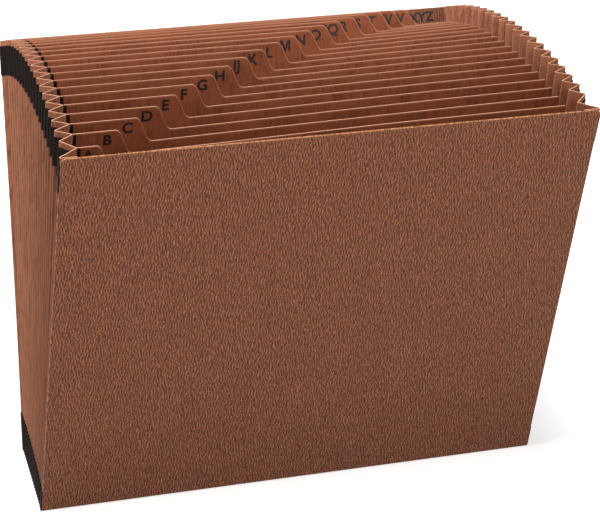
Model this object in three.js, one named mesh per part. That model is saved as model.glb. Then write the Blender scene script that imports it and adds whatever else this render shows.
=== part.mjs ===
// An open-topped A to Z expanding file: two boards joined by a pleated paper gusset,
// with twenty index dividers that part it into twenty-one pockets.
// Millimetres, +X to the right, +Y to the back, +Z up. The file stands on the folds of its gusset.

import * as THREE from "three";

// Boards
const boardWidth = 305;
const boardHeight = 254;
const boardThickness = 1.2;
const boardCornerRadius = 3;
const boardFoot = 1.2;

// Gusset paper: panels between folds, flat crests on the folds, and the flanges glued to the boards
const pocketCount = 21;
const gussetPaper = 0.5;
const panelWidth = 10;
const crestWidth = 1;
const flangeWidth = 9;

// Dividers: a tall left part that ends in the tab, an ogee, and a low edge that climbs to the right
const dividerPaper = 0.45;
const lowEdgeLeft = 16;
const lowEdgeRight = 10;
const firstTabEnd = 10;
const tabPitch = 12.85;
const stepLength = 10.5;
const dividerCornerRadius = 0.8;

// Cloth tapes on the outside of the gusset
const tapeThickness = 0.3;
const topTapeDrop = 3.5;
const topTapeHeight = 18;
const topTapeReach = 7.5;
const cornerTapeTop = 21;
const cornerTapeReach = 5;
const cornerTapeFoot = 1.2;

// Clearance between glued or taped pieces
const seatGap = 0.25;

// How the file stands open: leans in degrees, positive to the back
const frontLean = -19.8;
const backLean = 23.1;
const fanGrowth = 0.14;
const frontPocketExtra = 1.2;
const baseDepth = 88;

// The opened file has slipped sideways: the back board's foot by this much, its top further
const footSlip = 8;
const topSlip = 23;

const levels = pocketCount - 1;
const halfPaper = gussetPaper / 2;
const crestHalf = crestWidth / 2;
const foldHalfWidth = boardWidth / 2 - halfPaper;
const topTapeTop = boardHeight - topTapeDrop;
const topTapeFoot = topTapeTop - topTapeHeight;

const materials = {
  board: new THREE.MeshStandardMaterial({ color: 0x4a3228, roughness: 0.62, metalness: 0 }),
  gusset: new THREE.MeshStandardMaterial({ color: 0x9a5238, roughness: 0.85, metalness: 0 }),
  divider: new THREE.MeshStandardMaterial({ color: 0xa96545, roughness: 0.85, metalness: 0 }),
  tape: new THREE.MeshStandardMaterial({ color: 0x1b1a1a, roughness: 0.8, metalness: 0 }),
};

// The fan
// Level 0 is the front board, the last level is the back board, and a divider stands at each half level.
// A point on a level is given by x and by v, its distance up the leaning sheet.

function leanAt(level) {
  const share = level / levels;
  const eased = share + fanGrowth * (share * share - share);
  const extra = frontPocketExtra * Math.min(level, 1) * (1 - share);
  return THREE.MathUtils.degToRad(frontLean + (backLean - frontLean) * eased + extra);
}

function slipAt(level, v) {
  return ((footSlip + (topSlip - footSlip) * (v / boardHeight)) * level) / levels;
}

function pointAt(level, x, v) {
  const lean = leanAt(level);
  const y = (baseDepth * level) / levels + v * Math.sin(lean);
  return new THREE.Vector3(x + slipAt(level, v), y, v * Math.cos(lean));
}

function levelPitch(level, v) {
  const step = 0.01;
  return pointAt(level + step, 0, v).distanceTo(pointAt(level - step, 0, v)) / (2 * step);
}

// Pleats
// At one height the gusset is a zigzag line. Each of its points has the level that it belongs to,
// s along the fan and b outwards from the boards' edges.

function pleatLine(v, front, back) {
  const line = [...front.map((point) => ({ level: 0, ...point }))];
  for (let fold = 1; fold <= levels; fold += 1) {
    line.push(...crest(fold - 0.5, -panelWidth));
    if (fold < levels) {
      line.push(...crest(fold, outerDepth(fold, v)));
    }
  }
  line.push(...back.map((point) => ({ level: levels, ...point })));
  return withPositions(line, v);
}

function outerDepth(level, v) {
  const slope = Math.max(levelPitch(level, v) / 2 - crestWidth, 0);
  return Math.sqrt(Math.max(panelWidth * panelWidth - slope * slope, 1)) - panelWidth;
}

function crest(level, b) {
  return [
    { level, shift: -crestHalf, b },
    { level, shift: crestHalf, b },
  ];
}

// Cuts a pleat line short of its inner folds, so that it bridges each valley at its reach
function bridgeValleys(line, reach) {
  const limit = -reach;
  return line.map((point, index) => {
    if (point.b >= limit) {
      return point;
    }
    const neighbour = line[index - 1].b > limit ? line[index - 1] : line[index + 1];
    const share = (limit - neighbour.b) / (point.b - neighbour.b);
    const s = THREE.MathUtils.lerp(neighbour.s, point.s, share);
    return { ...point, b: limit, s, shift: point.shift + s - point.s };
  });
}

function withPositions(line, v) {
  let s = 0;
  return line.map((point, index) => {
    const before = line[index - 1];
    if (before) {
      const middle = (before.level + point.level) / 2;
      s += (point.level - before.level) * levelPitch(middle, v) + point.shift - before.shift;
    }
    return { ...point, s };
  });
}

// Moves a pleat line outwards by a distance, mitred at each bend
function offsetLine(line, v, distance) {
  return line.map((point, index) => {
    const arriving = leftNormal(line[index - 1], point);
    const leaving = leftNormal(point, line[index + 1]);
    const first = arriving ?? leaving;
    const second = leaving ?? arriving;
    const stretch = distance / (1 + first.dot(second));
    const shift = point.shift + (first.x + second.x) * stretch;
    const level = point.level + shift / levelPitch(point.level, v);
    return { level, b: point.b + (first.y + second.y) * stretch };
  });
}

function leftNormal(from, to) {
  if (!from || !to) {
    return undefined;
  }
  return new THREE.Vector2(from.b - to.b, to.s - from.s).normalize();
}

// A pleated band between two offsets, lofted through stations of the form { v, side, mitred }.
// On a mitred station the depth of a pleat counts sideways and upwards alike.
function pleatedBand(stations, front, back, reach, innerOffset, outerOffset) {
  const rings = stations.map(({ v, side, mitred }) => {
    const line = bridgeValleys(pleatLine(v, front, back), reach);
    const place = ({ level, b }) => pointAt(level, side * (foldHalfWidth + b), mitred ? v - b : v);
    const outer = offsetLine(line, v, outerOffset).map(place);
    const inner = offsetLine(line, v, innerOffset).map(place);
    return { outer, inner };
  });
  return bandGeometry(rings);
}

// Joins rings of outer and inner points into one closed skin
function bandGeometry(rings) {
  const count = rings[0].outer.length;
  const positions = rings.flatMap(({ outer, inner }) => [...outer, ...inner]);
  const indices = [];
  const outerIndex = (ring, i) => ring * count * 2 + i;
  const innerIndex = (ring, i) => ring * count * 2 + count + i;
  const quad = (a, b, c, d) => indices.push(a, b, c, a, c, d);
  for (let ring = 0; ring < rings.length - 1; ring += 1) {
    const next = ring + 1;
    for (let i = 0; i < count - 1; i += 1) {
      quad(outerIndex(ring, i), outerIndex(ring, i + 1), outerIndex(next, i + 1), outerIndex(next, i));
      quad(innerIndex(ring, i + 1), innerIndex(ring, i), innerIndex(next, i), innerIndex(next, i + 1));
    }
    quad(innerIndex(ring, 0), outerIndex(ring, 0), outerIndex(next, 0), innerIndex(next, 0));
    const last = count - 1;
    quad(outerIndex(ring, last), innerIndex(ring, last), innerIndex(next, last), outerIndex(next, last));
  }
  const end = rings.length - 1;
  for (let i = 0; i < count - 1; i += 1) {
    quad(innerIndex(0, i), innerIndex(0, i + 1), outerIndex(0, i + 1), outerIndex(0, i));
    quad(outerIndex(end, i), outerIndex(end, i + 1), innerIndex(end, i + 1), innerIndex(end, i));
  }
  const geometry = new THREE.BufferGeometry().setFromPoints(positions);
  geometry.setIndex(indices);
  geometry.computeVertexNormals();
  return geometry;
}

// Gusset: up the left side, along the bottom and up the right side in one piece

function gussetGeometry() {
  const front = [
    { shift: 0, b: -flangeWidth },
    { shift: 0, b: 0 },
    { shift: crestWidth, b: 0 },
  ];
  const back = [
    { shift: -crestWidth, b: 0 },
    { shift: 0, b: 0 },
    { shift: 0, b: -flangeWidth },
  ];
  const heights = [
    boardHeight,
    topTapeTop,
    topTapeFoot,
    THREE.MathUtils.lerp(cornerTapeTop, topTapeFoot, 2 / 3),
    THREE.MathUtils.lerp(cornerTapeTop, topTapeFoot, 1 / 3),
    cornerTapeTop,
  ];
  const stations = [
    ...heights.map((v) => ({ v, side: -1, mitred: false })),
    { v: halfPaper, side: -1, mitred: true },
    { v: halfPaper, side: 1, mitred: true },
    ...heights.reverse().map((v) => ({ v, side: 1, mitred: false })),
  ];
  return pleatedBand(stations, front, back, panelWidth, -halfPaper, halfPaper);
}

// Tapes: each covers the outer folds from the edge of one board to the edge of the other

function tapeGeometry(side, foot, top, reach) {
  const boardFace = halfPaper + seatGap + boardThickness;
  const front = [
    { shift: -boardFace, b: 0 },
    { shift: crestWidth, b: 0 },
  ];
  const back = [
    { shift: -crestWidth, b: 0 },
    { shift: boardFace, b: 0 },
  ];
  const ends = [{ v: top, side, mitred: false }, { ...foot, side }];
  const stations = side < 0 ? ends : ends.reverse();
  const inner = halfPaper + seatGap;
  return pleatedBand(stations, front, back, reach, inner, inner + tapeThickness);
}

// Sheets: drawn flat in x and v, then stood up on their level

function rackedShape(level, draw) {
  const shape = new THREE.Shape();
  const rack = slipAt(level, boardHeight) - slipAt(level, 0);
  const at = (x, v) => [x + (rack * v) / boardHeight, v];
  draw(shape, at);
  return shape;
}

function standSheet(name, level, shape, thickness, offset, material) {
  const geometry = new THREE.ExtrudeGeometry(shape, {
    depth: thickness,
    bevelEnabled: false,
    curveSegments: 6,
  });
  geometry.translate(0, 0, -offset - thickness / 2);
  const mesh = new THREE.Mesh(geometry, material);
  mesh.name = name;
  mesh.rotation.x = Math.PI / 2 - leanAt(level);
  mesh.position.copy(pointAt(level, 0, 0));
  return mesh;
}

function boardSheet(name, level, direction) {
  const half = boardWidth / 2;
  const radius = boardCornerRadius;
  const shape = rackedShape(level, (outline, at) => {
    outline.moveTo(...at(-half, boardFoot));
    outline.lineTo(...at(half, boardFoot));
    outline.lineTo(...at(half, boardHeight - radius));
    outline.quadraticCurveTo(...at(half, boardHeight), ...at(half - radius, boardHeight));
    outline.lineTo(...at(-half + radius, boardHeight));
    outline.quadraticCurveTo(...at(-half, boardHeight), ...at(-half, boardHeight - radius));
    outline.closePath();
  });
  const offset = direction * (halfPaper + seatGap + boardThickness / 2);
  return standSheet(name, level, shape, boardThickness, offset, materials.board);
}

// A divider fills the space inside the inner folds, a clearance away from their crests
function dividerSheet(number) {
  const level = number - 0.5;
  const half = boardWidth / 2 - gussetPaper - panelWidth - seatGap;
  const foot = panelWidth + gussetPaper + seatGap;
  const radius = dividerCornerRadius;
  const tabEnd = -half + firstTabEnd + tabPitch * (number - 1);
  const lowStart = tabEnd + stepLength;
  const lowEdge = (x) => boardHeight - THREE.MathUtils.mapLinear(x, -half, half, lowEdgeLeft, lowEdgeRight);
  const middle = (tabEnd + lowStart) / 2;
  const shape = rackedShape(level, (outline, at) => {
    outline.moveTo(...at(-half, foot));
    outline.lineTo(...at(half, foot));
    outline.lineTo(...at(half, lowEdge(half) - radius));
    outline.quadraticCurveTo(...at(half, lowEdge(half)), ...at(half - radius, lowEdge(half - radius)));
    outline.lineTo(...at(lowStart, lowEdge(lowStart)));
    outline.bezierCurveTo(
      ...at(middle, lowEdge(middle)),
      ...at(middle, boardHeight),
      ...at(tabEnd, boardHeight),
    );
    outline.lineTo(...at(-half, boardHeight));
    outline.closePath();
  });
  const name = `divider_${String(number).padStart(2, "0")}`;
  return standSheet(name, level, shape, dividerPaper, 0, materials.divider);
}

// Assembly

function namedMesh(name, geometry, material) {
  const mesh = new THREE.Mesh(geometry, material);
  mesh.name = name;
  return mesh;
}

const file = new THREE.Group();
file.add(boardSheet("front_cover", 0, -1));
file.add(boardSheet("back_cover", levels, 1));
file.add(namedMesh("gusset", gussetGeometry(), materials.gusset));
for (let number = 1; number < pocketCount; number += 1) {
  file.add(dividerSheet(number));
}

for (const [side, word] of [[-1, "left"], [1, "right"]]) {
  const topTape = tapeGeometry(side, { v: topTapeFoot, mitred: false }, topTapeTop, topTapeReach);
  file.add(namedMesh(`top_tape_${word}`, topTape, materials.tape));
  const cornerTape = tapeGeometry(side, { v: cornerTapeFoot, mitred: true }, cornerTapeTop, cornerTapeReach);
  file.add(namedMesh(`corner_tape_${word}`, cornerTape, materials.tape));
}

// The origin is the middle of the footprint, on the ground
const centred = new THREE.Group();
const box = new THREE.Box3().setFromObject(file, true);
const middle = box.getCenter(new THREE.Vector3());
file.position.set(-middle.x, -middle.y, 0);
centred.add(file);

export default centred;
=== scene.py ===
from collections import namedtuple
import math
import random

import bpy
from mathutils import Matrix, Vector


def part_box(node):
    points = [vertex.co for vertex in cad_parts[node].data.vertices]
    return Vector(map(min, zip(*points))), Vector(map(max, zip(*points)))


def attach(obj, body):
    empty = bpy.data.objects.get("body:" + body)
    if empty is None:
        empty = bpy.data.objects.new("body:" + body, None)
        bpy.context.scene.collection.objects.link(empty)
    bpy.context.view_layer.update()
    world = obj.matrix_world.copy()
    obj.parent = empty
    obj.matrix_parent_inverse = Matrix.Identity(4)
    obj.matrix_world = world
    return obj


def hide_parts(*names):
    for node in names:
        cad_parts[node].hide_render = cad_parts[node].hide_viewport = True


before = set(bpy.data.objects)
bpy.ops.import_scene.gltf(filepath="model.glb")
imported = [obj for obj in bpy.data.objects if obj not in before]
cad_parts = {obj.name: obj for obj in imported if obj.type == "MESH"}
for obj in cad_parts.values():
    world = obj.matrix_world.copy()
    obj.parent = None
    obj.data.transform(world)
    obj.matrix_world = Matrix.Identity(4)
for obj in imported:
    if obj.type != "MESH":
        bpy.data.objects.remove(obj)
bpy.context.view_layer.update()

# An open-topped A to Z expanding file, dressed around its solids.
# Named sizes are in millimetres and angles in degrees, unless they say otherwise.
# Blender's own units are metres.

MM = 0.001

# Boards
BOARD_WIDTH = 305.0
BOARD_HEIGHT = 254.0
BOARD_THICKNESS = 1.2
BOARD_CORNER_RADIUS = 3.0
BOARD_FOOT = 1.2

# Gusset paper
POCKETS = 21
GUSSET_PAPER = 0.5
PANEL_WIDTH = 10.0
CREST_WIDTH = 1.0
FLANGE_WIDTH = 9.0

# Dividers
DIVIDER_PAPER = 0.45
LOW_EDGE_LEFT = 16.0
LOW_EDGE_RIGHT = 10.0
FIRST_TAB_END = 10.0
TAB_PITCH = 12.85
STEP_LENGTH = 10.5
DIVIDER_CORNER_RADIUS = 0.8

# Cloth tapes
TAPE_THICKNESS = 0.3
TOP_TAPE_DROP = 3.5
TOP_TAPE_HEIGHT = 18.0
TOP_TAPE_REACH = 9.0
CORNER_TAPE_TOP_FRONT = 15.5
CORNER_TAPE_TOP_BACK = 23.0
CORNER_TAPE_REACH = 8.0
CORNER_TAPE_FOOT = 1.2
STRIP_WIDTH = 1.7
STRIP_THICKNESS = 0.2
STRIP_DROP = 0.4

SEAT_GAP = 0.25
TOUCH = 0.04

# How the file stands open
FRONT_LEAN = -19.8
BACK_LEAN = 23.1
FAN_GROWTH = 0.14
FRONT_POCKET_EXTRA = 1.2
BASE_DEPTH = 88.0
FOOT_SLIP = 8.0
TOP_SLIP = 23.0

# Softness of the paper: bows and waves that the flat solids leave out
FAN_BOW = 3.0
DIVIDER_BOW = 1.2
DIVIDER_BOW_SPREAD = (0.5, 1.2)
DIVIDER_WAVE = 0.35
DIVIDER_WAVE_RADIANS = 4.0
WAIST = 1.5
PANEL_WAVE = 0.25
PANEL_WAVE_COUNTS = (0.6, 1.6)

# Index letters
# The font's B loses its lower bowl at a boldness of 0.035
LETTERS = (*"ABCDEFGH", "IJ", *"KLMNO", "PQ", *"RST", "UV", "W")
LAST_LETTERS = "XYZ"
LETTER_HEIGHT = 6.5
LETTER_BOLDNESS = 0.03
LETTER_MIDDLE_DROP = 5.6
INK_DEPTH = 0.02
LETTER_TO_TAB_END = 4.0
LAST_LETTERS_X = 127.0

LEVELS = POCKETS - 1
HALF_PAPER = GUSSET_PAPER / 2
CREST_HALF = CREST_WIDTH / 2
FOLD_HALF_WIDTH = BOARD_WIDTH / 2 - HALF_PAPER
TOP_TAPE_TOP = BOARD_HEIGHT - TOP_TAPE_DROP
TOP_TAPE_FOOT = TOP_TAPE_TOP - TOP_TAPE_HEIGHT
BOARD_OFFSET = HALF_PAPER + SEAT_GAP + BOARD_THICKNESS / 2
DIVIDER_HALF = BOARD_WIDTH / 2 - GUSSET_PAPER - PANEL_WIDTH - SEAT_GAP
DIVIDER_FOOT = PANEL_WIDTH + GUSSET_PAPER + SEAT_GAP

# Where the source's zero lies in the frame: the front cover's box gives it
cover_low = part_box("front_cover")[0]
front_angle = math.radians(FRONT_LEAN)
cover_face = BOARD_OFFSET + BOARD_THICKNESS / 2
cover_face_y = BOARD_HEIGHT * math.sin(front_angle) - cover_face * math.cos(front_angle)
zero = Vector((cover_low.x / MM + BOARD_WIDTH / 2, cover_low.y / MM - cover_face_y, 0))


def lerp(a, b, share):
    return a + (b - a) * share


# The fan
# Level 0 is the front board, the last level is the back board, and a divider stands at each half level.


def lean_at(level):
    share = level / LEVELS
    eased = share + FAN_GROWTH * (share * share - share)
    extra = FRONT_POCKET_EXTRA * min(max(level, 0), 1) * (1 - share)
    return math.radians(lerp(FRONT_LEAN, BACK_LEAN, eased) + extra)


def slip_at(level, v):
    return lerp(FOOT_SLIP, TOP_SLIP, v / BOARD_HEIGHT) * level / LEVELS


def point_at(level, x, v, lift=0.0):
    """A point on a level at x and v, its distance up the sheet, lifted off the sheet towards the back."""
    share = level / LEVELS
    lean = lean_at(level)
    bow = FAN_BOW * share * math.sin(math.pi * min(max(v / BOARD_HEIGHT, 0), 1))
    y = BASE_DEPTH * share + v * math.sin(lean) + (lift - bow) * math.cos(lean)
    z = v * math.cos(lean) - lift * math.sin(lean)
    return Vector((x + slip_at(level, v), y, z))


def level_pitch(level, v):
    step = 0.01
    gap = point_at(level + step, 0, v) - point_at(level - step, 0, v)
    return gap.length / (2 * step)


# Meshes

SHARP_ANGLE = 40
BOARD_EDGE_ROUNDING = 0.3
BOARD_EDGE_SEGMENTS = 2
BOARD_EDGE_ANGLE = 50

# A unit of the sheet coordinates that the materials use, in millimetres
SHEET_UNIT = 100.0


def new_piece(name, points, faces, face_slots, materials, replaced, uvs=None, wear_and_highlight=None):
    """Makes a mesh object from points in the source's frame, in millimetres."""
    mesh = bpy.data.meshes.new(name)
    mesh.from_pydata([(point + zero) * MM for point in points], [], faces)
    for material in materials:
        mesh.materials.append(material)
    if face_slots:
        mesh.polygons.foreach_set("material_index", face_slots)
    mesh.polygons.foreach_set("use_smooth", [True] * len(faces))
    if uvs:
        layer = mesh.uv_layers.new(name="sheet")
        for loop in mesh.loops:
            u, v = uvs[loop.vertex_index]
            layer.data[loop.index].uv = (u / SHEET_UNIT, v / SHEET_UNIT)
    if wear_and_highlight:
        attribute = mesh.attributes.new("wear_and_highlight", "FLOAT", "POINT")
        attribute.data.foreach_set("value", wear_and_highlight)
    mesh.validate()
    mesh.set_sharp_from_angle(angle=math.radians(SHARP_ANGLE))
    piece = bpy.data.objects.new(name, mesh)
    bpy.context.scene.collection.objects.link(piece)
    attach(piece, "root")
    if replaced:
        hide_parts(*replaced)
    return piece


def round_edges(board):
    modifier = board.modifiers.new("rounded edges", "BEVEL")
    modifier.width = BOARD_EDGE_ROUNDING * MM
    modifier.segments = BOARD_EDGE_SEGMENTS
    modifier.limit_method = "ANGLE"
    modifier.angle_limit = math.radians(BOARD_EDGE_ANGLE)


# Sheets: a grid of columns and rows on both faces, joined by a rim

SHEET_ROWS = 12
ROWS_BELOW_TOP = (12.0, 7.0, 3.5, 1.2, 0.5, 0.0)
CORNER_TURNS = (90, 75, 60, 45, 30, 15, 0)
CORNER_MARGIN = 4.0
BOARD_COLUMNS = 26
OGEE_COLUMNS = 17
TAB_COLUMNS = 3
LOW_EDGE_COLUMNS = 24
DIVIDER_CORNER_SHARES = (0.5, 0.8, 1.0)
STRIP_COLUMNS = 3

# How far below its top edge a sheet is paler (real wear on the boards; on the paper sheets partly wear,
# partly a painted highlight along the edge), and how far apart the grain of neighbouring sheets is
WORN_AND_HIGHLIT_BAND = 0.75
SHEET_APART = 37.0


def sheet_piece(
    name, level, columns, foot, thickness, offset, lift, materials, replaced, face_slots=(0, 0),
):
    """columns are (x, top): the sheet stands on its foot and has that top edge.

    face_slots says which materials the front and back faces take, and the rim takes the one numbered 1.
    """
    points, uvs, wear_and_highlight = [], [], []
    across, up = len(columns), SHEET_ROWS + len(ROWS_BELOW_TOP)
    for face in (-1, 1):
        for x, top in columns:
            heights = [lerp(foot, top, i / SHEET_ROWS) for i in range(SHEET_ROWS)]
            heights += [top - gap for gap in ROWS_BELOW_TOP]
            for v in heights:
                points.append(point_at(level, x, v, lift(x, v) + offset + face * thickness / 2))
                uvs.append((x + level * SHEET_APART, v))
                # The top band takes the pale colour: real wear on the boards, and on the paper partly wear,
                # partly a painted highlight along the edge
                wear_and_highlight.append(max(1 - (top - v) / WORN_AND_HIGHLIT_BAND, 0))
    faces, slots = [], []

    def index(face, column, row):
        return (face * across + column) * up + row

    for column in range(across - 1):
        for row in range(up - 1):
            corners = [(column, row), (column + 1, row), (column + 1, row + 1), (column, row + 1)]
            faces.append([index(0, *corner) for corner in corners])
            faces.append([index(1, *corner) for corner in reversed(corners)])
            slots += face_slots
    rim = [(column, 0) for column in range(across)]
    rim += [(across - 1, row) for row in range(1, up)]
    rim += [(column, up - 1) for column in range(across - 2, -1, -1)]
    rim += [(0, row) for row in range(up - 2, 0, -1)]
    for here, there in zip(rim, rim[1:] + rim[:1]):
        faces.append([index(0, *here), index(1, *here), index(1, *there), index(0, *there)])
        slots.append(1)
    return new_piece(name, points, faces, slots, materials, replaced, uvs, wear_and_highlight)


def spread(low, high, count):
    return [lerp(low, high, i / (count - 1)) for i in range(count)]


def flat(x, v):
    return 0.0


def board_columns():
    half = BOARD_WIDTH / 2
    radius = BOARD_CORNER_RADIUS
    turns = [radius * (1 - math.sin(math.radians(angle))) for angle in CORNER_TURNS]
    near = turns + [radius + CORNER_MARGIN]

    def top(gap):
        return BOARD_HEIGHT - radius + math.sqrt(max(radius ** 2 - max(radius - gap, 0) ** 2, 0))

    left = [(-half + gap, top(gap)) for gap in near]
    right = [(half - gap, top(gap)) for gap in reversed(near)]
    inner = spread(-half + near[-1], half - near[-1], BOARD_COLUMNS)[1:-1]
    return left + [(x, BOARD_HEIGHT) for x in inner] + right


def build_boards(materials):
    """The two boards, whose outer faces take the first material and whose inner faces the third."""
    boards = (("front_cover", 0, -1, (0, 2)), ("back_cover", LEVELS, 1, (2, 0)))
    for name, level, side, face_slots in boards:
        piece = sheet_piece(
            f"{name}_grained", level, board_columns(), BOARD_FOOT, BOARD_THICKNESS,
            side * BOARD_OFFSET, flat, materials, [name], face_slots,
        )
        round_edges(piece)


def low_edge(x):
    return BOARD_HEIGHT - lerp(LOW_EDGE_LEFT, LOW_EDGE_RIGHT, (x + DIVIDER_HALF) / (2 * DIVIDER_HALF))


def tab_end_at(number):
    return -DIVIDER_HALF + FIRST_TAB_END + TAB_PITCH * (number - 1)


def divider_columns(number):
    """The divider's top edge from left to right: the tab, the ogee and the low edge."""
    tab_end = tab_end_at(number)
    low_start = tab_end + STEP_LENGTH
    middle = (tab_end + low_start) / 2
    columns = [(x, BOARD_HEIGHT) for x in spread(-DIVIDER_HALF, tab_end, TAB_COLUMNS + number)[:-1]]
    for t in spread(0, 1, OGEE_COLUMNS):
        ends = tab_end * (1 - t) ** 3 + low_start * t ** 3
        x = ends + middle * 3 * t * (1 - t)
        high_weight = (1 - t) ** 3 + 3 * (1 - t) ** 2 * t
        low = low_edge(middle) * 3 * (1 - t) * t ** 2 + low_edge(low_start) * t ** 3
        columns.append((x, BOARD_HEIGHT * high_weight + low))
    corner = DIVIDER_HALF - DIVIDER_CORNER_RADIUS
    columns += [(x, low_edge(x)) for x in spread(low_start, corner, LOW_EDGE_COLUMNS - number)[1:]]
    for share in DIVIDER_CORNER_SHARES:
        drop = DIVIDER_CORNER_RADIUS * (1 - math.sqrt(1 - share ** 2))
        x = corner + DIVIDER_CORNER_RADIUS * share
        columns.append((x, low_edge(x) - drop))
    return columns


def divider_lift(number):
    """How a divider's face departs from its plane: a bow to the back and one long wave."""
    noise = random.Random(number)
    bow = DIVIDER_BOW * noise.uniform(*DIVIDER_BOW_SPREAD)
    wave = noise.uniform(-DIVIDER_WAVE, DIVIDER_WAVE)
    phase = noise.uniform(0, math.tau)

    def lift(x, v):
        share = x / DIVIDER_HALF
        bent = bow + wave * math.sin(DIVIDER_WAVE_RADIANS * share + phase)
        return (v / BOARD_HEIGHT) ** 2 * (1 - share ** 2) * bent

    return lift


def build_dividers(materials):
    for number in range(1, POCKETS):
        name = f"divider_{number:02d}"
        sheet_piece(
            f"{name}_paper", number - 0.5, divider_columns(number), DIVIDER_FOOT, DIVIDER_PAPER,
            0, divider_lift(number), materials, [name],
        )


# Pleats, as in the part's source, with each fold rounded and each panel a little wavy.
# A crease is a point of the zigzag line at one height: shift and s are distances along the fan, b outwards.

Crease = namedtuple("Crease", "level shift b worn s", defaults=(0.0, 0.0))
FOLD_ANGLES = (-80, -40, 0, 40, 80)
PANEL_PARTS = 3
LEAST_PANEL_DEPTH = 1.0
# How pale a fold's crest is: partly wear, partly a painted highlight along the crest
FOLD_WEAR_AND_HIGHLIGHT = 0.5
GUSSET_TOP_ROWS = (0.0, 0.6, 2.0)
GUSSET_ROWS = 20
GUSSET_FIRST_ROW = 6.0
GUSSET_LAST_HEIGHT = 14.0
TOP_TAPE_ROWS = 5


def fold(level, peak, side):
    """A rounded fold, whose peak points outwards for side 1 and inwards for side -1."""
    points = []
    for angle in FOLD_ANGLES:
        turn = math.radians(angle)
        b = peak - side * CREST_HALF * (1 - math.cos(turn))
        points.append(Crease(level, CREST_HALF * math.sin(turn), b, FOLD_WEAR_AND_HIGHLIGHT * math.cos(turn)))
    return points


def panel(start, end, number, v):
    """The points between two folds, which lie on a shallow wave that changes up the panel."""
    noise = random.Random(number)
    size = PANEL_WAVE * noise.uniform(-1, 1)
    count = noise.uniform(*PANEL_WAVE_COUNTS)
    phase = noise.uniform(0, math.tau)
    wave = size * math.sin(phase + count * math.tau * v / BOARD_HEIGHT)
    points = []
    for part in range(1, PANEL_PARTS):
        share = part / PANEL_PARTS
        shift = lerp(start.shift, end.shift, share) + wave
        points.append(Crease(lerp(start.level, end.level, share), shift, lerp(start.b, end.b, share)))
    return points


def outer_depth(level, v):
    slope = max(level_pitch(level, v) / 2 - CREST_WIDTH, 0)
    return math.sqrt(max(PANEL_WIDTH ** 2 - slope ** 2, LEAST_PANEL_DEPTH ** 2)) - PANEL_WIDTH


def waist(level, v):
    share = level / LEVELS
    return WAIST * 4 * share * (1 - share) * math.sin(math.pi * min(max(v / BOARD_HEIGHT, 0), 1))


def pleat_line(v_at, front, back):
    groups = [[Crease(0, shift, b) for shift, b in front]]
    for number in range(1, LEVELS + 1):
        groups.append(fold(number - 0.5, -PANEL_WIDTH, -1))
        if number < LEVELS:
            v = v_at(number)
            groups.append(fold(number, outer_depth(number, v) - waist(number, v), 1))
    groups.append([Crease(LEVELS, shift, b) for shift, b in back])
    line = list(groups[0])
    for number, group in enumerate(groups[1:]):
        line += panel(line[-1], group[0], number, v_at(group[0].level))
        line += group
    return with_positions(line, v_at)


def with_positions(line, v_at):
    """Works out s, each crease's distance along the fan."""
    placed = [line[0]]
    for here in line[1:]:
        last = placed[-1]
        middle = (last.level + here.level) / 2
        step = (here.level - last.level) * level_pitch(middle, v_at(middle)) + here.shift - last.shift
        placed.append(here._replace(s=last.s + step))
    return placed


def bridge_valleys(line, reach):
    """Cuts a pleat line short of its inner folds, so that it bridges each valley at its reach."""
    bridged = []
    for here, there in zip(line, line[1:] + [None]):
        if here.b >= -reach:
            bridged.append(here)
        if there and (here.b >= -reach) != (there.b >= -reach):
            share = (-reach - here.b) / (there.b - here.b)
            inside = here if here.b < -reach else there
            s = lerp(here.s, there.s, share)
            bridged.append(inside._replace(b=-reach, s=s, shift=inside.shift + s - inside.s))
    return bridged


def left_normal(start, end):
    return Vector((start.b - end.b, end.s - start.s)).normalized()


def offset_line(line, v_at, distance):
    """Moves a pleat line outwards, mitred at each bend: (level, b)."""
    normals = [left_normal(here, there) for here, there in zip(line, line[1:])]
    moved = []
    for here, first, second in zip(line, normals[:1] + normals, normals + normals[-1:]):
        stretch = distance / (1 + first.dot(second))
        shift = here.shift + (first.x + second.x) * stretch
        level = here.level + shift / level_pitch(here.level, v_at(here.level))
        moved.append((level, here.b + (first.y + second.y) * stretch))
    return moved


def band_piece(name, stations, front, back, reach, offsets, materials, replaced):
    """A pleated band lofted through stations of the form (front v, back v, side, mitred)."""
    points, uvs, wear_and_highlight = [], [], []
    for number, (front_v, back_v, side, mitred) in enumerate(stations):
        def v_at(level):
            return lerp(front_v, back_v, level / LEVELS)

        line = pleat_line(v_at, front, back)
        if reach < PANEL_WIDTH:
            line = bridge_valleys(line, reach)
        lengths = [0.0]
        for here, there in zip(line, line[1:]):
            lengths.append(lengths[-1] + math.hypot(there.s - here.s, there.b - here.b))
        at_end = number in (0, len(stations) - 1)
        for distance in offsets:
            for crease, length, (level, b) in zip(line, lengths, offset_line(line, v_at, distance)):
                v = v_at(level)
                points.append(point_at(level, side * (FOLD_HALF_WIDTH + b), v - b if mitred else v))
                uvs.append((length, v if side < 0 else v + 2 * BOARD_HEIGHT))
                # Paler at the band's top edges and fold crests: partly wear, partly a painted highlight
                wear_and_highlight.append(1.0 if at_end else crease.worn)
    faces, slots = band_faces(len(stations), len(line))
    return new_piece(name, points, faces, slots, materials, replaced, uvs, wear_and_highlight)


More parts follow.
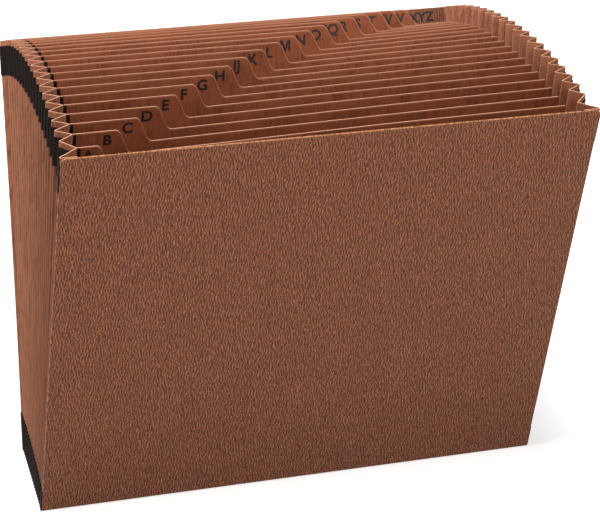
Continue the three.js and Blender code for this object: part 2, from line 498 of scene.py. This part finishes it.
def band_faces(rings, count):
    """The faces between rings of outer and inner points, and their material slots."""
    faces, slots = [], []

    def add(corners, slot):
        faces.append([(ring * 2 + part) * count + place for ring, part, place in corners])
        slots.append(slot)

    last, end = rings - 1, count - 1
    for ring in range(last):
        there = ring + 1
        for a in range(end):
            b = a + 1
            add([(ring, 0, a), (ring, 0, b), (there, 0, b), (there, 0, a)], 0)
            add([(ring, 1, b), (ring, 1, a), (there, 1, a), (there, 1, b)], 0)
        add([(ring, 1, 0), (ring, 0, 0), (there, 0, 0), (there, 1, 0)], 1)
        add([(ring, 0, end), (ring, 1, end), (there, 1, end), (there, 0, end)], 1)
    for a in range(end):
        b = a + 1
        add([(0, 1, a), (0, 1, b), (0, 0, b), (0, 0, a)], 1)
        add([(last, 0, a), (last, 0, b), (last, 1, b), (last, 1, a)], 1)
    return faces, slots


def build_gusset(materials):
    front = [(0, -FLANGE_WIDTH), (0, 0), (CREST_WIDTH, 0)]
    back = [(-CREST_WIDTH, 0), (0, 0), (0, -FLANGE_WIDTH)]
    heights = [BOARD_HEIGHT - drop for drop in GUSSET_TOP_ROWS]
    heights += spread(BOARD_HEIGHT - GUSSET_FIRST_ROW, GUSSET_LAST_HEIGHT, GUSSET_ROWS)
    stations = [(v, v, -1, False) for v in heights]
    stations += [(HALF_PAPER, HALF_PAPER, -1, True), (HALF_PAPER, HALF_PAPER, 1, True)]
    stations += [(v, v, 1, False) for v in reversed(heights)]
    band_piece(
        "gusset_pleated", stations, front, back, PANEL_WIDTH, (HALF_PAPER, -HALF_PAPER),
        materials, ["gusset"],
    )


def build_tapes(material):
    face = HALF_PAPER + SEAT_GAP + BOARD_THICKNESS
    front = [(-face, 0), (CREST_WIDTH, 0)]
    back = [(-CREST_WIDTH, 0), (face, 0)]
    offsets = (HALF_PAPER + SEAT_GAP + TAPE_THICKNESS, HALF_PAPER + TOUCH)
    for side, word in ((-1, "left"), (1, "right")):
        top = [(v, v, side, False) for v in spread(TOP_TAPE_TOP, TOP_TAPE_FOOT, TOP_TAPE_ROWS)]
        corner = [(CORNER_TAPE_TOP_FRONT, CORNER_TAPE_TOP_BACK, side, False)]
        corner.append((CORNER_TAPE_FOOT, CORNER_TAPE_FOOT, side, True))
        bands = (("top_tape", top, TOP_TAPE_REACH), ("corner_tape", corner, CORNER_TAPE_REACH))
        for name, stations, reach in bands:
            ordered = stations if side < 0 else stations[::-1]
            band_piece(
                f"{name}_{word}_cloth", ordered, front, back, reach, offsets,
                [material, material], [f"{name}_{word}"],
            )


def build_strips(material):
    """A narrow black strip runs down the front of each divider's left end."""
    left = -DIVIDER_HALF
    strip_xs = spread(left, left + STRIP_WIDTH, STRIP_COLUMNS)
    columns = [(x, BOARD_HEIGHT - STRIP_DROP) for x in strip_xs]
    for number in range(1, POCKETS):
        sheet_piece(
            f"divider_strip_{number:02d}", number - 0.5, columns, TOP_TAPE_FOOT, STRIP_THICKNESS,
            -(DIVIDER_PAPER + STRIP_THICKNESS) / 2 - TOUCH, divider_lift(number), [material, material],
            [],
        )


# Index letters: flat text bent onto the sheets

# The font's own M fills wrongly when it is drawn bold, so it has this outline, one letter height tall
BOLD_M = (
    (0, 0), (0.19, 0), (0.19, 0.7), (0.4, 0), (0.58, 0), (0.79, 0.7), (0.79, 0),
    (0.98, 0), (0.98, 1), (0.7, 1), (0.49, 0.3), (0.28, 1), (0, 1),
)


def bold_m_curve():
    curve = bpy.data.curves.new("letters", "CURVE")
    curve.dimensions = "2D"
    curve.fill_mode = "BOTH"
    spline = curve.splines.new("POLY")
    spline.points.add(len(BOLD_M) - 1)
    for point, (x, y) in zip(spline.points, BOLD_M):
        point.co = (x * LETTER_HEIGHT, y * LETTER_HEIGHT, 0, 1)
    spline.use_cyclic_u = True
    return curve


def font_curve(text, size):
    curve = bpy.data.curves.new("letters", "FONT")
    curve.body = text
    curve.size = size
    curve.offset = size * LETTER_BOLDNESS
    return curve


def letter_mesh(text, size):
    curve = bold_m_curve() if text == "M" else font_curve(text, size)
    curve.extrude = INK_DEPTH
    drawn = bpy.data.objects.new("letters", curve)
    bpy.context.scene.collection.objects.link(drawn)
    bpy.context.view_layer.update()
    evaluated = drawn.evaluated_get(bpy.context.evaluated_depsgraph_get())
    mesh = bpy.data.meshes.new_from_object(evaluated)
    bpy.data.objects.remove(drawn)
    bpy.data.curves.remove(curve)
    return mesh


def letter_size():
    """The font size at which a capital is as tall as LETTER_HEIGHT."""
    measured = letter_mesh("H", 1.0)
    heights = [vertex.co.y for vertex in measured.vertices]
    bpy.data.meshes.remove(measured)
    return LETTER_HEIGHT / (max(heights) - min(heights))


def middle_of(values):
    return (min(values) + max(values)) / 2


def build_letters(material):
    points, faces = [], []
    size = letter_size()

    def place(text, level, x, face_offset, lift):
        mesh = letter_mesh(text, size)
        middle_x = middle_of([vertex.co.x for vertex in mesh.vertices])
        middle_y = middle_of([vertex.co.y for vertex in mesh.vertices])
        first = len(points)
        for vertex in mesh.vertices:
            at_x = x + vertex.co.x - middle_x
            at_v = BOARD_HEIGHT - LETTER_MIDDLE_DROP + vertex.co.y - middle_y
            points.append(point_at(level, at_x, at_v, lift(at_x, at_v) - face_offset - vertex.co.z))
        for polygon in mesh.polygons:
            faces.append([first + corner for corner in polygon.vertices])
        bpy.data.meshes.remove(mesh)

    offset = DIVIDER_PAPER / 2 + TOUCH
    for number, text in enumerate(LETTERS, 1):
        place(text, number - 0.5, tab_end_at(number) - LETTER_TO_TAB_END, offset, divider_lift(number))
    inner_face = -(HALF_PAPER + SEAT_GAP) + TOUCH
    place(LAST_LETTERS, LEVELS, LAST_LETTERS_X, inner_face, flat)
    new_piece("index_letters", points, faces, None, [material], [])


# Materials


class Surface:
    """A material built from nodes around one Principled shader."""

    def __init__(self, name, roughness, specular):
        self.material = bpy.data.materials.new(name)
        self.material.use_nodes = True
        self.nodes = self.material.node_tree.nodes
        self.links = self.material.node_tree.links
        self.shader = self.nodes["Principled BSDF"]
        self.shader.inputs["Roughness"].default_value = roughness
        self.shader.inputs["Specular IOR Level"].default_value = specular

    def add(self, kind, settings=None, **values):
        node = self.nodes.new(f"ShaderNode{kind}")
        for key, value in (settings or {}).items():
            setattr(node, key, value)
        for key, value in values.items():
            self.put(node.inputs[key.replace("_", " ")], value)
        return node

    def put(self, socket, value):
        if isinstance(value, bpy.types.NodeSocket):
            self.links.new(value, socket)
        else:
            socket.default_value = value

    def sheet(self, across=1.0, up=1.0):
        """The sheet's own coordinates, scaled across and up the sheet."""
        uv = self.add("UVMap", {"uv_map": "sheet"}).outputs["UV"]
        return self.add("Mapping", Vector=uv, Scale=(across, up, 1)).outputs["Vector"]

    def noise(self, vector, scale, detail, roughness=0.5):
        node = self.add("TexNoise", Vector=vector, Scale=scale, Detail=detail, Roughness=roughness)
        return node.outputs["Fac"]

    def ramp(self, value, stops):
        node = self.add("ValToRGB", Fac=value)
        elements = node.color_ramp.elements
        while len(elements) < len(stops):
            elements.new(0.5)
        for element, (place, colour) in zip(elements, stops):
            element.position = place
            element.color = colour
        return node.outputs["Color"]

    def mix(self, share, first, second):
        node = self.add("MixRGB")
        self.put(node.inputs["Fac"], share)
        self.put(node.inputs["Color1"], first)
        self.put(node.inputs["Color2"], second)
        return node.outputs["Color"]

    def math(self, kind, first, second):
        node = self.add("Math", {"operation": kind})
        self.put(node.inputs[0], first)
        self.put(node.inputs[1], second)
        return node.outputs[0]

    # The pale mask: wear, and on the paper sheets partly a painted highlight along top edges and fold
    # crests
    def wear_and_highlight(self):
        return self.add("Attribute", {"attribute_name": "wear_and_highlight"}).outputs["Fac"]

    def bump(self, height, distance, strength):
        node = self.add("Bump", Height=height, Distance=distance * MM, Strength=strength)
        self.put(self.shader.inputs["Normal"], node.outputs["Normal"])

    def colour(self, colour):
        self.put(self.shader.inputs["Base Color"], colour)


def srgb(red, green, blue):
    """A colour given as it looks on a screen, 0 to 255, in Blender's linear values."""
    def linear(value):
        share = value / 255
        return share / 12.92 if share <= 0.04045 else ((share + 0.055) / 1.055) ** 2.4

    return (linear(red), linear(green), linear(blue), 1.0)


# Blender's wave texture, at scale 1, repeats every tenth of pi units of the sheet coordinates
WAVE_PERIOD = SHEET_UNIT * math.pi / 10
WRINKLE_PITCH = 1.5
WRINKLE_ASPECT = 0.5
WRINKLE_SLANT = 20
WRINKLE_DISTORTION = 9.0
WRINKLE_SHARE = 0.33
CREASE_SCALES = (95, 36)
CREASE_SHARE = 0.45
MOTTLE_SCALE = 4.0
MOTTLE_SHARE = 0.4
MOTTLE_TONE = srgb(112, 62, 36)
# The darker flat tone that painted shade mixes in, for the boards' inner faces
PAINTED_SHADE_TONE = srgb(98, 52, 32)
FRAYED_SCALE = 160.0
BOARD_RELIEF = 0.3
BOARD_RELIEF_STRENGTH = 0.7


def leather_board(name, painted_shade):
    """Pressboard embossed with long upright wrinkles like leather, whose tones a share of painted shade
    darkens and flattens.
    """
    surface = Surface(name, roughness=0.55, specular=0.3)
    sheet = surface.sheet()
    waves = []
    for slant in (-WRINKLE_SLANT, WRINKLE_SLANT):
        turned = surface.add(
            "Mapping", Vector=sheet, Scale=(1, WRINKLE_ASPECT, 1), Rotation=(0, 0, math.radians(slant)),
        )
        wave = surface.add(
            "TexWave", {"bands_direction": "X"}, Vector=turned.outputs["Vector"],
            Scale=WAVE_PERIOD / WRINKLE_PITCH, Distortion=WRINKLE_DISTORTION,
            Detail=2.5, Detail_Scale=1.5, Detail_Roughness=0.55,
        )
        waves.append(surface.math("MULTIPLY", wave.outputs["Fac"], WRINKLE_SHARE))
    creases = surface.noise(surface.sheet(*CREASE_SCALES), 1.0, detail=2.0)
    creases = surface.math("MULTIPLY", creases, CREASE_SHARE)
    height = surface.math("ADD", surface.math("ADD", *waves), creases)
    grain = surface.ramp(height, [
        (0.3, srgb(64, 28, 15)),
        (0.46, srgb(104, 54, 32)),
        (0.6, srgb(148, 84, 52)),
        (0.78, srgb(200, 130, 88)),
    ])
    mottle = surface.math("MULTIPLY", surface.noise(sheet, MOTTLE_SCALE, detail=4.0), MOTTLE_SHARE)
    toned = surface.mix(mottle, grain, MOTTLE_TONE)
    # Painted shade: mixes the grain towards one darker, flat tone
    toned = surface.mix(painted_shade, toned, PAINTED_SHADE_TONE)
    frayed = surface.noise(sheet, FRAYED_SCALE, detail=1.0)
    rim = surface.ramp(frayed, [
        (0.4, srgb(100, 56, 30)),
        (0.48, srgb(158, 102, 60)),
        (0.7, srgb(184, 128, 84)),
    ])
    surface.colour(surface.mix(surface.wear_and_highlight(), toned, rim))
    surface.bump(height, BOARD_RELIEF, BOARD_RELIEF_STRENGTH)
    return surface.material


FIBRE_SCALES = (60, 9)
CLOUD_SCALE_UP = 1.5
CLOUD_SCALE = 2.0
PAPER_RELIEF = 0.06
PAPER_RELIEF_STRENGTH = 0.6


def kraft_paper(name, base, dark, worn, streaks=1.5):
    """Dyed kraft paper, with fine upright fibres and paler fold lines and cut edges, which are partly worn
    and partly a painted highlight.
    """
    surface = Surface(name, roughness=0.82, specular=0.2)
    fibres = surface.noise(surface.sheet(*FIBRE_SCALES), 1.0, detail=4.0, roughness=0.65)
    cloud_place = surface.sheet(streaks, CLOUD_SCALE_UP)
    cloud = surface.noise(cloud_place, CLOUD_SCALE, detail=3.0, roughness=0.6)
    halves = [surface.math("MULTIPLY", layer, 0.5) for layer in (fibres, cloud)]
    paper = surface.ramp(surface.math("ADD", *halves), [(0.33, dark), (0.55, base), (0.75, base)])
    surface.colour(surface.mix(surface.wear_and_highlight(), paper, worn))
    surface.bump(fibres, PAPER_RELIEF, PAPER_RELIEF_STRENGTH)
    return surface.material


# Two threads to the millimetre, or very nearly
WEAVE_SCALE = 63.0
CLOTH_RELIEF = 0.12
CLOTH_RELIEF_STRENGTH = 0.7


def cloth_tape():
    """Black book cloth in a plain weave."""
    surface = Surface("black book cloth", roughness=0.85, specular=0.12)
    sheet = surface.sheet()
    threads = []
    for direction in "XY":
        wave = surface.add("TexWave", {"bands_direction": direction}, Vector=sheet, Scale=WEAVE_SCALE)
        threads.append(wave.outputs["Fac"])
    weave = surface.math("MULTIPLY", *threads)
    surface.colour(surface.ramp(weave, [(0.0, srgb(16, 10, 8)), (1.0, srgb(46, 34, 30))]))
    surface.bump(weave, CLOTH_RELIEF, CLOTH_RELIEF_STRENGTH)
    return surface.material


# A speckle's scale is to the metre, since the letters have no sheet coordinates
SPECKLE_SCALE = 2500.0
INK_RELIEF = 0.02


def print_ink():
    """Black ink that covers the paper a little unevenly."""
    surface = Surface("black print ink", roughness=0.5, specular=0.3)
    place = surface.add("TexCoord").outputs["Object"]
    speckle = surface.noise(place, SPECKLE_SCALE, detail=2.0)
    surface.colour(surface.ramp(speckle, [(0.35, srgb(24, 17, 15)), (0.75, srgb(34, 25, 22))]))
    surface.bump(speckle, INK_RELIEF, 1.0)
    return surface.material


# Stage, light and camera

# The floor's reach, and the distances from the file between which its glow grows to 1, in metres
FLOOR_REACH = 12.0
FLOOR_FADE = (0.35, 1.3)

# What the floor shows where it is seen: its own glow near the file, and light that a shadow takes away
FLOOR_GLOW = 0.54
FLOOR_SHADOW_DEPTH = 0.9

# What the floor and the world give to the light, and how bright the world is where it is seen
FLOOR_GREY = 0.16
WORLD_LIGHT = 0.08
WORLD_SEEN = 1.0


def new_tree(holder):
    """Clears a material's or a world's nodes, and returns its empty nodes and links."""
    holder.use_nodes = True
    nodes, links = holder.node_tree.nodes, holder.node_tree.links
    nodes.clear()
    return nodes, links


def seen_directly(nodes, links):
    """1 for a ray from the camera, or seen in or through a glossy surface, and 0 for rays that light."""
    path = nodes.new("ShaderNodeLightPath")
    share = path.outputs["Is Camera Ray"]
    for kind in ("Is Glossy Ray", "Is Transmission Ray"):
        either = nodes.new("ShaderNodeMath")
        either.operation = "MAXIMUM"
        links.new(share, either.inputs[0])
        links.new(path.outputs[kind], either.inputs[1])
        share = either.outputs[0]
    return share


def grey_diffuse(nodes, level):
    shader = nodes.new("ShaderNodeBsdfDiffuse")
    shader.inputs["Color"].default_value = (level, level, level, 1)
    return shader.outputs[0]


def growing_glow(nodes, links):
    """An emission of FLOOR_GLOW near the file, which grows to 1 with the distance from it."""
    place = nodes.new("ShaderNodeTexCoord")
    distance = nodes.new("ShaderNodeVectorMath")
    distance.operation = "LENGTH"
    links.new(place.outputs["Object"], distance.inputs[0])
    growth = nodes.new("ShaderNodeMapRange")
    for socket, value in zip(("From Min", "From Max", "To Min"), (*FLOOR_FADE, FLOOR_GLOW)):
        growth.inputs[socket].default_value = value
    links.new(distance.outputs["Value"], growth.inputs["Value"])
    glow = nodes.new("ShaderNodeEmission")
    links.new(growth.outputs["Result"], glow.inputs["Strength"])
    return glow.outputs[0]


def white_floor():
    """White where it is seen, apart from the file's shadow, and a plain grey to the light."""
    material = bpy.data.materials.new("white floor")
    nodes, links = new_tree(material)
    shown = nodes.new("ShaderNodeAddShader")
    links.new(grey_diffuse(nodes, FLOOR_SHADOW_DEPTH), shown.inputs[0])
    links.new(growing_glow(nodes, links), shown.inputs[1])
    choice = nodes.new("ShaderNodeMixShader")
    links.new(seen_directly(nodes, links), choice.inputs[0])
    links.new(grey_diffuse(nodes, FLOOR_GREY), choice.inputs[1])
    links.new(shown.outputs[0], choice.inputs[2])
    output = nodes.new("ShaderNodeOutputMaterial")
    links.new(choice.outputs[0], output.inputs["Surface"])
    return material


def build_stage():
    reach = FLOOR_REACH
    corners = [(-reach, -reach, 0), (reach, -reach, 0), (reach, reach, 0), (-reach, reach, 0)]
    mesh = bpy.data.meshes.new("floor")
    mesh.from_pydata(corners, [], [(0, 1, 2, 3)])
    mesh.materials.append(white_floor())
    floor = bpy.data.objects.new("floor", mesh)
    bpy.context.scene.collection.objects.link(floor)


def build_world():
    world = bpy.data.worlds.new("plain studio")
    bpy.context.scene.world = world
    nodes, links = new_tree(world)
    choice = nodes.new("ShaderNodeMixShader")
    links.new(seen_directly(nodes, links), choice.inputs[0])
    for place, strength in ((1, WORLD_LIGHT), (2, WORLD_SEEN)):
        background = nodes.new("ShaderNodeBackground")
        background.inputs["Color"].default_value = (1, 1, 1, 1)
        background.inputs["Strength"].default_value = strength
        links.new(background.outputs[0], choice.inputs[place])
    output = nodes.new("ShaderNodeOutputWorld")
    links.new(choice.outputs[0], output.inputs["Surface"])


# Name, place and size in metres, power in watts
LIGHTS = (
    ("top", (-0.35, -0.4, 2.05), 1.0, 49),
    ("right", (1.9, -1.1, 0.7), 0.9, 6.5),
    ("front", (0.1, -1.2, 0.75), 0.6, 5.8),
    ("left", (-1.1, -0.45, 0.42), 0.5, 3.6),
)
LIGHT_TARGET = Vector((0, 0, 0.13))


def look_at(thing, target):
    thing.rotation_euler = (target - thing.location).to_track_quat("-Z", "Y").to_euler()


def build_light(name, place, size, power):
    lamp = bpy.data.lights.new(name, "AREA")
    lamp.shape = "DISK"
    lamp.size = size
    lamp.energy = power
    holder = bpy.data.objects.new(name, lamp)
    holder.location = place
    bpy.context.scene.collection.objects.link(holder)
    look_at(holder, LIGHT_TARGET)


# The camera stands to the left and above, far off, and looks along this azimuth and elevation
CAMERA_AZIMUTH = 18.0
CAMERA_ELEVATION = 19.46
CAMERA_DISTANCE = 1400.0
CAMERA_TARGET = (7.1, 3.9, 134.5)
IMAGE_WIDTH_PIXELS = 600
FOCAL_PIXELS = 2398.0
SENSOR_WIDTH = 36.0
CAMERA_SIGHT = 50000.0


def build_camera():
    azimuth, elevation = math.radians(CAMERA_AZIMUTH), math.radians(CAMERA_ELEVATION)
    ahead = Vector((
        math.sin(azimuth) * math.cos(elevation),
        math.cos(azimuth) * math.cos(elevation),
        -math.sin(elevation),
    ))
    target = (Vector(CAMERA_TARGET) + zero) * MM
    data = bpy.data.cameras.new("camera")
    data.sensor_fit = "HORIZONTAL"
    data.sensor_width = SENSOR_WIDTH
    data.lens = FOCAL_PIXELS / IMAGE_WIDTH_PIXELS * SENSOR_WIDTH
    data.clip_end = CAMERA_SIGHT * MM
    camera = bpy.data.objects.new("camera", data)
    camera.location = target - ahead * CAMERA_DISTANCE * MM
    bpy.context.scene.collection.objects.link(camera)
    look_at(camera, target)
    bpy.context.scene.camera = camera


def build_file():
    board = leather_board("leather grain board", painted_shade=0.0)
    # The boards' inner faces take a copy with painted shade, darker and flatter
    inside = leather_board("leather grain board, inside", painted_shade=0.6)
    gusset = kraft_paper(
        "gusset kraft paper", base=srgb(166, 104, 75), dark=srgb(108, 60, 40), worn=srgb(205, 148, 118),
        streaks=8.0,
    )
    divider = kraft_paper(
        "divider kraft paper", base=srgb(142, 77, 48), dark=srgb(104, 52, 30), worn=srgb(200, 140, 110),
    )
    cut_edge = kraft_paper(
        "cut paper edge", base=srgb(204, 146, 116), dark=srgb(176, 120, 92), worn=srgb(208, 152, 122),
    )
    tape = cloth_tape()
    build_boards([board, board, inside])
    build_gusset([gusset, cut_edge])
    build_dividers([divider, cut_edge])
    build_tapes(tape)
    build_strips(tape)
    build_letters(print_ink())


build_file()
build_stage()
build_world()
for light in LIGHTS:
    build_light(*light)
build_camera()
bpy.context.scene.view_settings.view_transform = "Standard"
